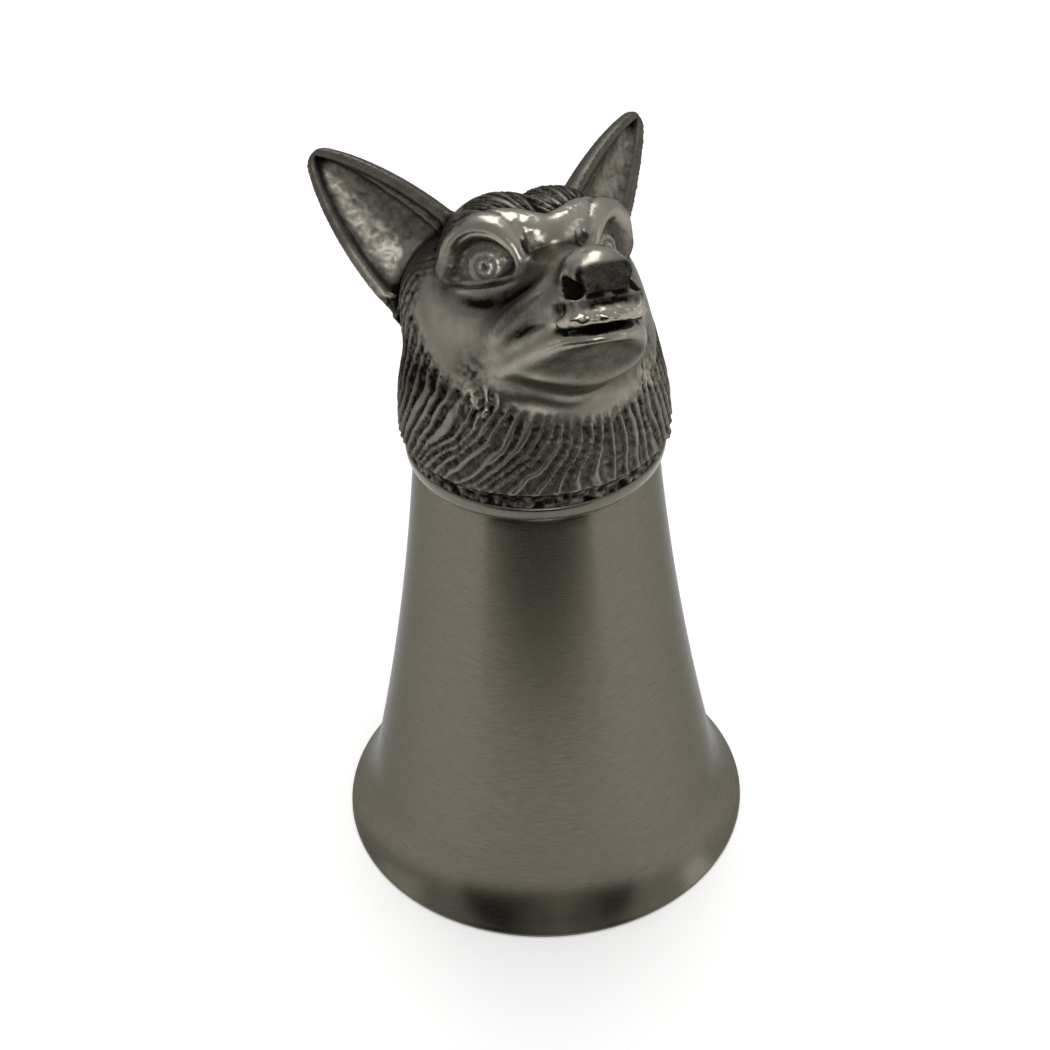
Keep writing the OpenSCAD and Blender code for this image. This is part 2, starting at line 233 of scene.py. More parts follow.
def cup_section(cup):
    """Closed section of the spun cup: closed end, wall and flared lip, then the same way back inside."""
    top_r, waist_r = cup.top_d / MM / 2, cup.waist_d / MM / 2
    wall_h, lip_h, sheet = cup.wall_h / MM, cup.lip_h / MM, cup.wall_t / MM
    shoulder_r, draft = cup.shoulder_r / MM, cup.top_draft
    # the flare would reach this far without the rounding of the lip
    mouth_r = CUP_HIGH[0] + 0.46
    drop = wall_h - lip_h
    rate = math.tan(draft)
    bend = (waist_r - top_r - rate * drop) / drop ** 2
    falls = np.linspace(0, drop, 40)
    lean = [math.atan(rate + 2 * bend * d) for d in falls]
    wall = [(top_r + rate * d + bend * d * d, wall_h - d) for d in falls]
    inner = [polar(place, -sheet, turn) for place, turn in zip(wall, lean)]
    start = lean[-1]
    end = 2 * math.atan((mouth_r - waist_r) / lip_h) - start
    flare_r = lip_h / (math.sin(end) - math.sin(start))
    flare_c = polar((waist_r, lip_h), flare_r, start)
    edge_r = sheet * 0.42
    edge_end = math.asin((flare_c[1] - edge_r) / (flare_r + edge_r))
    edge_c = polar(flare_c, -(flare_r + edge_r), edge_end)
    outer_flare = arc(flare_c, flare_r, start + math.pi, edge_end + math.pi, 20)
    lip = arc(edge_c, edge_r, edge_end, -math.pi / 2, 8)
    inside_end = math.asin(flare_c[1] / (flare_r + sheet))
    inner_flare = arc(flare_c, flare_r + sheet, inside_end + math.pi, start + math.pi, 20)
    shoulder_c = polar((top_r, wall_h), -shoulder_r, draft)
    shoulder = arc(shoulder_c, shoulder_r, math.pi / 2, draft, 10)
    inner_shoulder = arc(shoulder_c, shoulder_r - sheet, draft, math.pi / 2, 10)
    cup_top = shoulder_c[1] + shoulder_r
    return (
        [(0, cup_top)] + shoulder[:-1] + wall[:-1] + outer_flare + lip[1:]
        + inner_flare + inner[-2::-1] + inner_shoulder[1:] + [(0, cup_top - sheet)]
    )


def brushed_steel(cup):
    """Stainless steel, spun and then brushed round the axis: grey, with fine level lines and a soft
    upright smear of whatever it reflects. The real lines are about 0.05 mm apart, too fine to show,
    so they are drawn coarser."""
    material, add = empty_tree(bpy.data.materials.new("brushed stainless steel"))
    x, y, z = add("SeparateXYZ", {0: add("TexCoord", output="Object")}, output=None)
    turn = add("VectorMath", {0: add("CombineXYZ", {0: x, 1: y})}, operation="NORMALIZE")
    across = add("SeparateXYZ", {0: turn})
    layers = []
    # spacing of the lines, strokes in a turn, and slant of the lines in spacings
    for pitch, strokes, slant in ((cup.brush_pitch, 14.0, 0.6), (cup.brush_pitch * 2.4, 8.0, -1.1)):
        height = add("Math", {0: across, 1: slant * pitch, 2: z}, operation="MULTIPLY_ADD")
        line = add("Math", {0: height, 1: 1 / pitch}, operation="MULTIPLY")
        around = add("VectorMath", {0: turn, 1: (strokes, strokes, 0.0)}, operation="MULTIPLY")
        u, v, _ = add("SeparateXYZ", {0: around}, output=None)
        where = add("CombineXYZ", {0: u, 1: v, 2: line})
        layers.append(add("TexNoise", {"Vector": where, "Scale": 1.0, "Detail": 3.0, "Roughness": 0.65}))
    lines = add("Math", {0: layers[1], 1: 0.35, 2: layers[0]}, operation="MULTIPLY_ADD")
    shade = add("MapRange", {"Value": lines, "From Min": 0.4, "From Max": 0.95})
    shader = add("BsdfPrincipled", {
        "Base Color": add("Mix", {0: shade, 6: cup.line, 7: cup.steel}, output=2, data_type="RGBA"),
        "Metallic": 1.0,
        "Roughness": add("MapRange", {"Value": shade, "To Min": 0.29, "To Max": 0.21}),
        "Anisotropic": 0.5,
        "Anisotropic Rotation": 0.25,
        "Normal": add("Bump", {"Height": lines, "Strength": 0.25, "Distance": 0.02 * MM}),
        "Tangent": add("Tangent", direction_type="RADIAL", axis="Z"),
        "Specular Tint": EDGE_TINT,
    })
    add("OutputMaterial", {"Surface": shader}, output=None)
    return material


def polished_pewter(head):
    """Cast pewter, turned and buffed: pale, fairly mirror-like, with fine polishing haze."""
    material, add = empty_tree(bpy.data.materials.new("turned and buffed pewter"))
    place = add("TexCoord", output="Object")
    haze = add("TexNoise", {"Vector": place, "Scale": 1 / (1.2 * MM), "Detail": 4.0})
    shine = add("MapRange", {"Value": haze, "To Min": 0.05, "To Max": 0.35})
    shader = add("BsdfPrincipled", {
        "Base Color": add("Mix", {0: shine, 6: head.worn, 7: head.pewter}, output=2, data_type="RGBA"),
        "Metallic": 1.0,
        "Roughness": add("MapRange", {"Value": haze, "To Min": 0.2, "To Max": 0.36}),
    })
    add("OutputMaterial", {"Surface": shader}, output=None)
    return material


def antique_pewter(head, name):
    """Cast pewter, darkened and then buffed: black patina stays in the recesses, high places shine,
    and the skin keeps the fine pits of the mould. The dark and pale mixes also carry painted shade,
    painted dark reflection and painted highlights, read from the points of the mesh."""
    material, add = empty_tree(bpy.data.materials.new(name))
    place = add("TexCoord", output="Object")
    recess = add("Attribute", output="Fac", attribute_name="recess")
    polish = add("Attribute", output="Fac", attribute_name="polish")
    mottle = add("TexNoise", {"Vector": place, "Scale": 1 / (1.6 * MM), "Detail": 5.0, "Roughness": 0.6})
    grain = add("TexNoise", {"Vector": place, "Scale": 1 / head.grain, "Detail": 2.0})
    bright = add("Mix", {0: polish, 6: head.worn, 7: head.pewter}, output=2, data_type="RGBA")
    cover = add("Math", {0: mottle, 1: 0.5, 2: recess}, operation="MULTIPLY_ADD")
    pits = add("MapRange", {"Value": grain, "From Min": 0.4, "From Max": 0.75})
    darkness = add("Math", {0: pits, 1: 0.1, 2: cover}, operation="MULTIPLY_ADD")
    dark = add("MapRange", {"Value": darkness, "From Min": 0.3, "From Max": 1.15})
    smooth = add("MapRange", {"Value": polish, "To Min": 0.44, "To Max": 0.22})
    coarse = add("MapRange", {"Value": polish, "From Max": 0.5, "To Min": 0.9, "To Max": 0.1})
    shader = add("BsdfPrincipled", {
        "Base Color": add("Mix", {0: dark, 6: bright, 7: head.antique_and_shade}, output=2, data_type="RGBA"),
        "Metallic": 1.0,
        "Roughness": add("Math", {0: dark, 1: 0.22, 2: smooth}, operation="MULTIPLY_ADD"),
        "Normal": add("Bump", {"Height": grain, "Strength": coarse, "Distance": 0.12 * MM}),
        "Specular Tint": EDGE_TINT,
    })
    add("OutputMaterial", {"Surface": shader}, output=None)
    return material


class CUP_OT_build(bpy.types.Operator):
    """Spun and brushed cup that stands on its mouth"""

    bl_idname = "stirrup_cup.cup"
    bl_label = "Brushed cup"

    def execute(self, context):
        cup = context.scene.stirrup_cup
        points, faces = lathe(cup_section(cup), SIDES)
        make_piece("brushed_cup", points, faces, brushed_steel(cup), "brushed_steel", "cup")
        return {"FINISHED"}


class RING_OT_build(bpy.types.Operator):
    """Turned neck ring, with the bond hidden under it"""

    bl_idname = "stirrup_cup.neck_ring"
    bl_label = "Neck ring"

    def execute(self, context):
        head = context.scene.fox_head
        pewter = polished_pewter(head)
        edge_r, foot, top = RING_HIGH[0], RING_LOW[2], SEAM_LOW[2]
        foot_r = edge_r - 0.7
        recess_r, recess_top = foot_r - 0.4, foot + 1.1
        lip = 0.4
        rise = top - lip - foot
        edge = [
            (foot_r + (edge_r - foot_r) * math.sin(t), top - lip - rise * math.cos(t))
            for t in np.linspace(0, math.pi / 2, 17)
        ]
        rounding = arc((edge_r - lip, top - lip), lip, 0.2, math.pi / 2, 6)
        section = (
            [(0, RING_HIGH[2]), (SPIGOT_R, RING_HIGH[2]), (SPIGOT_R, top)] + rounding[::-1] + edge[-2::-1]
            + [(recess_r, foot), (recess_r, recess_top), (0, recess_top)]
        )
        points, faces = lathe(section, SIDES)
        make_piece("turned_ring", points, faces, pewter, "cast_pewter", "neck_ring")
        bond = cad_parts["cup_bond"].data.materials
        bond.clear()
        bond.append(pewter)
        return {"FINISHED"}


# Each form below gives its reach, the distance of points from its skin, which is negative inside


class Ball(NamedTuple):
    """Ellipsoid in the head's frame"""

    at: tuple
    radii: tuple
    blend: float

    def reach(self, q):
        s = (q - np.float32(self.at)) / np.float32(self.radii)
        n = np.linalg.norm(s, axis=-1)
        slope = np.linalg.norm(s / np.float32(self.radii), axis=-1)
        return n * (n - 1) / np.maximum(slope, 1e-6)


class Block(NamedTuple):
    """Box with rounded edges in the head's frame"""

    at: tuple
    half: tuple
    rounding: float
    blend: float

    def reach(self, q):
        over = np.abs(q - np.float32(self.at)) - (np.float32(self.half) - self.rounding)
        outside = np.linalg.norm(np.maximum(over, 0), axis=-1)
        return outside + np.minimum(over.max(axis=-1), 0) - self.rounding


class Rod(NamedTuple):
    """Chain of round bars whose radius changes from point to point"""

    points: tuple
    radii: tuple
    blend: float

    def reach(self, q):
        near = None
        for a, b, ra, rb in zip(self.points, self.points[1:], self.radii, self.radii[1:]):
            a, way = np.float32(a), np.float32(b) - np.float32(a)
            h = np.clip((q - a) @ way / (way @ way), 0, 1)
            d = np.linalg.norm(q - a - h[..., None] * way, axis=-1) - (ra + (rb - ra) * h)
            near = d if near is None else np.minimum(near, d)
        return near


class Jaw(NamedTuple):
    """Lower jaw: a rounded prow with a bevelled front, between the line of the lips and the throat"""

    back: float
    half: float
    reach_top: float
    top: float
    bevel: float
    blend: float

    def reach(self, q):
        m, f, u = q[..., 0], q[..., 1], q[..., 2]
        arch = (m / self.half) ** 2
        deep = np.clip(self.reach_top - self.bevel * (self.top - u), 4.0, self.reach_top + 1.0)
        side = (np.hypot(m / self.half, np.maximum(f - self.back, 0) / deep) - 1) * deep * 0.8
        roof = u - (self.top - 2.4 * arch)
        floor = (self.top - 6.8 + 3.0 * arch) - u
        return carve(carve(side, -roof, 0.8), -floor, 1.2)


def smooth_rod(points, radii, blend, parts=3):
    """Rod whose chain is bent smoothly; a chain that ends on the middle of the face crosses it square."""
    rows = np.column_stack((points, radii)).astype(float)
    first = 2 * rows[0] - rows[1]
    last = rows[-2] * (-1, 1, 1, 1) if rows[-1][0] == 0 else 2 * rows[-1] - rows[-2]
    rows = np.vstack((first, rows, last))
    bent = []
    for a, b, c, d in zip(rows, rows[1:], rows[2:], rows[3:]):
        for t in np.arange(parts) / parts:
            bent.append(b + t / 2 * (c - a + t * (2 * a - 5 * b + 4 * c - d + t * (3 * (b - c) + d - a))))
    bent.append(rows[-2])
    return Rod(tuple(row[:3] for row in bent), tuple(row[3] for row in bent), blend)


def blend(a, b, k):
    """Joins two forms with a fillet about k wide."""
    h = np.maximum(k - np.abs(a - b), 0) / k
    return np.minimum(a, b) - h * h * k / 4


def carve(a, b, k):
    """Cuts form b out of form a with a rounded edge about k wide."""
    return -blend(-a, b, k)


# The eye looks outwards and forwards: its own frame has inner, up and out, from its middle
EYE_AT = np.array((8.9, 7.5, 3.6))
EYE_IN = np.array((-0.777, 0.63, 0.0))
EYE_OUT = np.array((0.63, 0.777, 0.0))


def eye_point(inner, up, out):
    """Place in the head's frame of a point given in the eye's frame."""
    return tuple(EYE_AT + inner * EYE_IN + out * EYE_OUT + np.array((0, 0, up)))


def eye_curve(*places):
    """Curve in the head's frame through points given in the eye's frame."""
    return tuple(eye_point(*place) for place in places)


UPPER_LID = eye_curve(
    (-5.2, -0.8, -1.4), (-4.8, 1.5, -0.5), (-3.3, 4.0, 0.1), (-0.6, 5.2, 0.2),
    (2.3, 4.5, 0.2), (4.3, 2.5, 0.2), (5.0, 0.4, 0.0), (5.1, -1.2, -0.5),
)
LID_RADII = (0.05, 0.25, 0.85, 1.35, 1.4, 1.15, 0.8, 0.5)

NOSE_F = 24.2
BROW = ((12.4, 3.4, 4.2), (11.0, 5.2, 7.0), (8.4, 6.4, 8.2), (5.4, 7.6, 8.3), (2.6, 8.8, 7.6), (0, 9.2, 7.0))
FOLD = ((5.4, 18.2, -0.5), (7.6, 14.8, -2.9), (9.1, 11.8, -5.4), (9.5, 9.8, -7.8))
UPPER_LIP = ((9.4, 11.0, -7.6), (7.6, 16.4, -6.3), (5.2, 20.4, -4.9))
LOWER_LIP = ((9.2, 10.6, -9.8), (7.9, 15.2, -8.6), (5.6, 20.4, -7.0), (2.8, 24.0, -6.8), (0, 24.9, -6.7))
TEETH = ((5.4, 21.4, -4.2), (4.8, 23.8, -4.1), (2.8, 25.2, -4.0), (0, 25.7, -4.0))
VOLUMES = (
    # skull, cheek, jowl, face and whisker pad
    Ball((0, -6, 0.2), (16.4, 13, 10.6), 4.0),
    Ball((9, -2, -6), (6.6, 8.2, 10), 4.0),
    Ball((7.8, 6, -5.5), (3.4, 5.4, 6), 4.0),
    Rod(((0, 4, -0.8), (0, 16, -1.6)), (7.8, 5.4), 4.0),
    Rod(((5.9, 10.5, -4.8), (3.4, 20.5, -3.0)), (3.6, 3.0), 2.5),
    # bridge of the nose and the brow
    Rod(((0, 12.5, 0.2), (0, 21.0, 0.3)), (4.3, 3.7), 2.0),
    smooth_rod(BROW, (1.7, 2.1, 2.4, 2.5, 2.4, 2.3), 2.0),
    # throat, lower jaw and upper lip
    Rod(((0, 2, -10.5), (0, 12.5, -9.2)), (6.0, 3.6), 2.5),
    Jaw(10.0, 9.5, 14.5, -6.3, 1.05, 3.2),
    Block((0, 22.0, -2.4), (5.1, 4.0, 2.4), 1.2, 1.0),
    smooth_rod(TEETH, (0.7, 1.0, 1.05, 1.05), 0.5),
    smooth_rod(LOWER_LIP, (0.3, 0.8, 0.85, 0.7, 0.7), 1.2),
    # folds of the muzzle and the edge of the upper lip
    smooth_rod(FOLD, (0.5, 1.0, 0.9, 0.2), 3.0),
    smooth_rod(UPPER_LIP, (0.3, 0.9, 0.9), 1.4),
)
SOCKETS = (
    Ball(eye_point(0, 1.0, 3.4), (5.0, 4.4, 4.4), 1.2),
)
FEATURES = (
    Ball((0, NOSE_F - 1.8, 1.9), (3.9, 3.9, 2.7), 0.8),
    Block((0, NOSE_F - 0.8, 0.6), (4.0, 3.1, 2.05), 1.6, 0.8),
    smooth_rod(UPPER_LID, LID_RADII, 1.4),
    Ball(eye_point(-0.2, 0.6, -8.6), (9.0, 8.2, 9.0), 0.5),
)
CUTS = (
    # nostril
    smooth_rod(((3.7, 26.4, -0.7), (4.2, 24.9, -0.5), (4.5, 22.6, 0.9)), (0.6, 1.15, 0.6), 0.4),
)
MOUTH = smooth_rod(
    ((-3.3, 24.3, -5.55), (-2.4, 24.9, -5.6), (-1.0, 25.2, -5.55), (0.7, 25.3, -5.5), (2.8, 24.9, -5.35),
     (4.6, 23.6, -5.1), (6.2, 20.4, -5.0)),
    (0.1, 0.5, 0.5, 0.42, 0.36, 0.3, 0.2), 0.3,
)


class HeadForm:
    """Smooth form of the head as a distance that is negative inside."""

    # Height of the middle of the head above the seam, and how far each ear's root runs into the skull
    middle_h = 20.9
    ear_sunk = 4.0

    def __init__(self, head):
        pitch, lean = head.pitch, head.lean
        self.neck_r = SEAM_HIGH[0] + 0.2
        self.neck_z = HEAD_LOW[2]
        self.rise = head.neck_rise / MM
        self.at = np.array((0, 0, self.neck_z + self.middle_h))
        across = (math.cos(lean), 0, -math.sin(lean))
        ahead = (math.sin(pitch) * math.sin(lean), -math.cos(pitch), math.sin(pitch) * math.cos(lean))
        up = (math.cos(pitch) * math.sin(lean), math.sin(pitch), math.cos(pitch) * math.cos(lean))
        self.axes = np.array((across, ahead, up))
        self.ear_len = head.ear_len / MM
        self.ear_half_w = head.ear_half_w / MM
        root_in, root_out = np.array((8.4, -7.4, 9.8)), np.array((16.6, -9.4, 2.2))
        aim = np.array((24.2, -12, 22))
        self.ear_root = (root_in + root_out) / 2
        self.ear_along = (aim - self.ear_root) / np.linalg.norm(aim - self.ear_root)
        edge = root_out - root_in
        edge = edge - self.ear_along * (edge @ self.ear_along)
        across = edge / np.linalg.norm(edge)
        ahead = np.cross(self.ear_along, across)
        turn = head.ear_turn
        self.ear_across = across * math.cos(turn) - ahead * math.sin(turn)
        self.ear_open = ahead * math.cos(turn) + across * math.sin(turn)

    def to_head(self, p):
        """Head coordinates (across, forward, up) of points in the object's frame."""
        return (p - self.at.astype(np.float32)) @ self.axes.T.astype(np.float32)

    def neck(self, p):
        """Dome of the neck, which slants a little to one side."""
        slant = 0.03
        upright = p.copy()
        upright[..., 0] += slant * (p[..., 2] - self.neck_z)
        return Ball((0, 0, self.neck_z + 0.9), (self.neck_r, self.neck_r, self.rise), 0).reach(upright)

    def ear_places(self, m):
        """Place on the ear: distance along it, across it and out of its open face."""
        rel = m - self.ear_root.astype(np.float32)
        along = rel @ self.ear_along.astype(np.float32)
        return along, rel @ self.ear_across.astype(np.float32), rel @ self.ear_open.astype(np.float32)

    def ear_share(self, along):
        """Share of the ear's length, from its sunk root to its tip."""
        return np.clip((along + self.ear_sunk) / (self.ear_len + self.ear_sunk), 0, 1)

    def ear_half(self, t):
        """Half the width of the ear."""
        return self.ear_half_w * (1 - t ** 1.9) ** 0.8 + 0.7

    def ear(self, m):
        """Leaf-shaped ear with a hollow face and thick rims."""
        along, v, n = self.ear_places(m)
        t = self.ear_share(along)
        half = self.ear_half(t)
        deep = 3.2 * (1 - t) + 0.9
        cupped = n + deep - deep * np.minimum((v / half) ** 2, 1.5)
        sheet = np.maximum(np.abs(v) - half, np.abs(cupped) - (0.7 + 0.7 * (1 - t)))
        rim = np.hypot(np.abs(v) - (half - 0.75), n - 0.15) - (0.65 + 0.35 * (1 - t))
        leaf = blend(sheet, rim, 0.8)
        ends = np.maximum(along - self.ear_len, -self.ear_sunk - along)
        return carve(leaf, -ends, 1.2)

    def skin(self, p):
        """Head without its ears, and the places in its frame with both sides laid on one."""
        q = self.to_head(p)
        m = q.copy()
        m[..., 0] = np.abs(m[..., 0])
        d = self.neck(p)
        for joined, forms in ((blend, VOLUMES), (carve, SOCKETS), (blend, FEATURES), (carve, CUTS)):
            for form in forms:
                d = joined(d, form.reach(m), form.blend)
        return carve(d, MOUTH.reach(q), MOUTH.blend), m

    def whole(self, p):
        """Head with its ears, cut flat at the seam."""
        d, m = self.skin(p)
        d = blend(d, self.ear(m), 2.0)
        # the nape runs in to the seam at the back
        limit = self.neck_r + 0.5 * (p[..., 2] - self.neck_z) + 4.0 * (1 - ramp(p[..., 1], 2.0, 9.0))
        d = carve(d, limit - np.hypot(p[..., 0], p[..., 1]), 1.5)
        return np.maximum(d, self.neck_z - p[..., 2])


def skin_mesh(form, low, high, step):
    """Quads over a form, worked out on a fine grid only near its skin."""
    coarse = 4
    counts = np.ceil((high - low) / (step * coarse)).astype(int)
    axes = [low[i] + step * coarse * np.arange(counts[i]) for i in range(3)]
    grid = np.stack(np.meshgrid(*axes, indexing="ij"), -1).astype(np.float32)
    rough = form(grid + np.float32(step * (coarse - 1) / 2))
    field = rough.repeat(coarse, 0).repeat(coarse, 1).repeat(coarse, 2)
    near = np.argwhere(np.abs(field) < step * coarse * 1.6)
    places = (low + near * step).astype(np.float32)
    field[tuple(near.T)] = np.concatenate([form(part) for part in np.array_split(places, 8)])
    cells = openvdb.FloatGrid(3.0)
    cells.copyFromArray(np.clip(field, -3, 3).astype(np.float32))
    points, quads = cells.convertToQuads(0.0)
    return points * step + low, quads


def lattice(cells):
    """Repeatable value from 0 to 1 for each whole-numbered cell."""
    i = cells.astype(np.int64)
    n = i[..., 0] * 73856093 ^ i[..., 1] * 19349663 ^ i[..., 2] * 83492791
    n = (n ^ (n >> 13)) * 1274126177
    n = n ^ (n >> 16)
    return (n & 65535) / 65535.0


def speckle(p, size):
    """Smooth noise from 0 to 1 with grains of the given size."""
    at = p / size
    cell = np.floor(at)
    f = ramp(at - cell, 0, 1)
    total = np.zeros(len(p))
    for corner in np.ndindex(2, 2, 2):
        weight = np.prod(np.where(np.array(corner) == 1, f, 1 - f), axis=1)
        total += weight * lattice(cell + np.array(corner))
    return total


def mixed_speckle(p, size, shift, second):
    """Two sizes of speckle in equal shares; the shift keeps their grains apart."""
    return speckle(p, size) * 0.5 + speckle(p + shift, second) * 0.5


def ramp(value, low, high):
    """Smooth step from 0 at low to 1 at high."""
    t = np.clip((value - low) / (high - low), 0, 1)
    return t * t * (3 - 2 * t)


def bell(value, size):
    """Soft band: 1 where a value is 0, fading over the given size."""
    return np.exp(-(value / size) ** 2)


def spot(places, at, sizes):
    """Soft spot: 1 at one place, fading over the given sizes."""
    return np.exp(-(((places - np.array(at)) / np.array(sizes)) ** 2).sum(axis=1))


def path_distance(points, path):
    """Distance to a path, and how far along it the nearest place is, from 0 to 1."""
    best = np.full(len(points), 1e9)
    share = np.zeros(len(points))
    last = len(path) - 1
    for i in range(last):
        a, way = path[i], path[i + 1] - path[i]
        h = np.clip((points - a) @ way / max(way @ way, 1e-9), 0, 1)
        d = np.linalg.norm(points - a - h[:, None] * way, axis=1)
        closer = d < best
        best[closer] = d[closer]
        share[closer] = (i + h[closer]) / last
    return best, share


class Relief:
    """Fine relief of the head, pressed into or raised from its skin along the normals, with the patina
    and painted shade it holds and marks of where its parts lie."""

    def __init__(self, form, points, normals):
        self.form, self.points, self.normals = form, points, normals
        self.local = form.to_head(points.astype(np.float32)).astype(float)
        self.mirrored = self.local.copy()
        self.mirrored[:, 0] = np.abs(self.mirrored[:, 0])
        self.height = np.zeros(len(points))
        self.dark = np.zeros(len(points))
        self.marks = {}

    def lay_dark(self, amount):
        """Lays darkening where it isn't thicker already: patina for most marks, painted shade for some."""
        self.dark = np.maximum(self.dark, amount)

    def stroke(self, places, half, depth, ends=0.5, dark=0.0):
        """Groove with a flat floor along a path on both sides of the head."""
        flat = 1.6
        path = np.array(places, float)
        near = np.linalg.norm(self.mirrored - path.mean(0), axis=1) < np.ptp(path, axis=0).max() + 3
        index = np.flatnonzero(near)
        d, t = path_distance(self.mirrored[index], path)
        wide = half * np.clip(np.sin(math.pi * np.clip(t, 0.02, 0.98)), 0, 1) ** ends
        press = ramp((1 - d / wide) * flat, 0, 1)
        self.height[index] -= depth * press
        self.dark[index] = np.maximum(self.dark[index], dark * press)


def unit(ways):
    """Directions of length 1."""
    return ways / np.maximum(np.linalg.norm(ways, axis=1, keepdims=True), 1e-9)


def bearing(p):
    """Place round the axis in degrees from the fox's nose."""
    return np.degrees(np.arctan2(p[:, 0], -p[:, 1]))


class FoxFur:
    """Fur: lanes of grooves round the neck, and lens-shaped strokes on the crown and the cheeks."""

    # Place that the strokes stream away from, and how far they fan out
    from_point = np.array((11.0, -21.0, 107.0))
    spread = 1.8
    # Lowest strokes, most places tried for them, and the height where the lanes end
    strokes_from = 94
    most_seeds = 6000
    lanes_to = 100.0
    # Lean of the lanes of the neck in degrees and half the width of the ridges between them,
    # by their place round the axis in degrees from the fox's nose
    places = (-180, -100, -75, -58, -25, -10, 5, 19, 34, 75, 120, 180)
    leans = (0, 20, 32, 44, 38, 24, 7, 0, -9, -28, -30, 0)
    ridges = (0.14, 0.16, 0.16, 0.15, 0.12, 0.1, 0.09, 0.09, 0.09, 0.14, 0.14, 0.14)
    # How far forward the fur reaches, by height in the head's frame
    heights = (-20, -16.6, -15.2, -11.5, -7.6, -1.0, 4.0, 7.0, 9.5)
    starts = (12.5, 10.4, 9.0, 5.6, 3.0, -1.0, 0.5, 4.6, 8.0)

    def __init__(self, form, settings):
        self.form = form
        self.pitch = settings.fur_pitch / MM
        self.depth = settings.fur_depth / MM
        self.count = round(2 * math.pi * form.neck_r / self.pitch)

    def distance(self, p):
        """Distance to the skin."""
        return self.form.skin(p.astype(np.float32))[0].astype(float)

    def slope(self, p):
        """Direction straight out of the skin."""
        step = 0.15
        rises = [self.distance(p + step * e) - self.distance(p - step * e) for e in np.eye(3)]
        return unit(np.stack(rises, 1))

    def flow(self, p, normal):
        """Direction in which the fur streams over the skin."""
        away = (p - self.from_point) * np.array((self.spread, self.spread, 1.0))
        return unit(away - normal * np.sum(away * normal, axis=1, keepdims=True))

    def lean(self, place, z):
        """Slope of the lanes of the neck: steep where they start, slanting towards the foot."""
        slope = np.tan(np.radians(np.interp(place, self.places, self.leans)))
        return slope * (1.1 - 0.6 * ramp(z, 78.0, 90.0))

    def lanes(self, p):
        """Number of the lane of fur at each place of the neck, counted where the lane crosses its middle."""
        middle, steps = 80.0, 12
        place, z = bearing(p), p[:, 2]
        fall = (p[:, 2] - middle) / steps
        for _ in range(steps):
            place = place - np.degrees(self.lean(place, z) * fall / self.form.neck_r)
            z = z - fall
        wave = speckle(np.column_stack((place / 12, p[:, 2] / 4.5, 0 * z)), 1.0) - 0.5
        shake = speckle(p, 1.6) - 0.5
        return place * self.count / 360 + 0.9 * wave + 0.25 * shake

    def cover(self, local, p):
        """How much fur grows at a place: none on the face, most on the neck."""
        side = np.abs(local[:, 0])
        f, u = local[:, 1], local[:, 2]
        grows = ramp(np.interp(u, self.heights, self.starts) - f, -0.6, 2.6)
        neck = ramp(90.0 - p[:, 2], -2.0, 4.0)
        crown = ramp(u, 6.5, 9.0) * ramp(f, -9.0, -3.0)
        along, across, _ = self.form.ear_places(np.column_stack((side, f, u)).astype(np.float32))
        ear = ramp(along, -1.5, 1.0) * (np.abs(across) < 11)
        return grows * (1 - ear) * np.clip(0.45 + 0.55 * neck + 0.55 * crown, 0, 1)

    def seeds(self, relief):
        """Middles of the strokes, spread so that neighbours lie beside each other."""
        cover = self.cover(relief.local, relief.points)
        grown = np.flatnonzero((cover > 0.25) & (relief.points[:, 2] > self.strokes_from))
        shuffled = np.random.default_rng(7).permutation(grown)[:self.most_seeds]
        p, n = relief.points[shuffled], relief.normals[shuffled]
        flow = self.flow(p, n)
        kept = []
        for i in range(len(p)):
            if kept:
                away = p[kept] - p[i]
                along = away @ flow[i]
                aside = np.linalg.norm(away - along[:, None] * flow[i], axis=1)
                if np.min((along / 4.2) ** 2 + (aside / (self.pitch * 0.62)) ** 2) < 1:
                    continue
            kept.append(i)
        return p[kept]

    def strands(self, relief):
        """Path of each stroke over the skin."""
        middle = self.seeds(relief)
        draw = np.random.default_rng(11)
        reach = draw.uniform(3.6, 6.2, len(middle))
        wave = draw.uniform(-0.35, 0.35, len(middle))
        steps = 9
        halves = []
        for way in (-1, 1):
            at, path = middle.copy(), []
            for k in range(steps):
                normal = self.slope(at)
                flow = self.flow(at, normal)
                aside = np.cross(normal, flow)
                turn = wave * way * (k / steps)
                move = flow * way + aside * turn[:, None]
                at = at + move * (reach / steps)[:, None]
                at = at - self.slope(at) * self.distance(at)[:, None]
                path.append(at)
            halves.append(path)
        return np.stack(halves[0][::-1] + [middle] + halves[1], 1)

    def strokes(self, relief):
        """Depth of the lens-shaped strokes of the crown and cheeks."""
        depth = np.zeros(len(relief.points))
        for path in self.strands(relief):
            index = np.flatnonzero(np.linalg.norm(relief.points - path[len(path) // 2], axis=1) < 8.5)
            d, t = path_distance(relief.points[index], path)
            lens = 0.52 * np.sin(math.pi * np.clip(t, 0.01, 0.99)) ** 0.55
            depth[index] = np.maximum(depth[index], ramp(1 - d / lens, 0.0, 0.9))
        return depth

    def press(self, relief):
        """Sinks wide grooves into the neck, with thin ridges left between them, and strokes elsewhere."""
        p = relief.points
        grit = speckle(p, 0.5)
        lane = self.lanes(p)
        edge = np.round(lane)
        height = np.column_stack((edge % self.count, p[:, 2] / 5.0, 0 * edge))
        pinch = ramp(speckle(height, 1.0), 0.6, 0.95)
        thick = np.interp(bearing(p), self.places, self.ridges) + 0.3 * pinch
        groove = ramp(np.abs(lane - edge) * self.pitch, thick, thick + 0.3)
        low = ramp(self.lanes_to - p[:, 2], 0.0, 4.0)
        depth = (groove * low + self.strokes(relief) * (1 - low) * 0.7) * self.cover(relief.local, p)
        relief.height -= depth * self.depth * (0.75 + 0.5 * grit)
        relief.lay_dark(depth * (0.1 + 0.4 * grit))


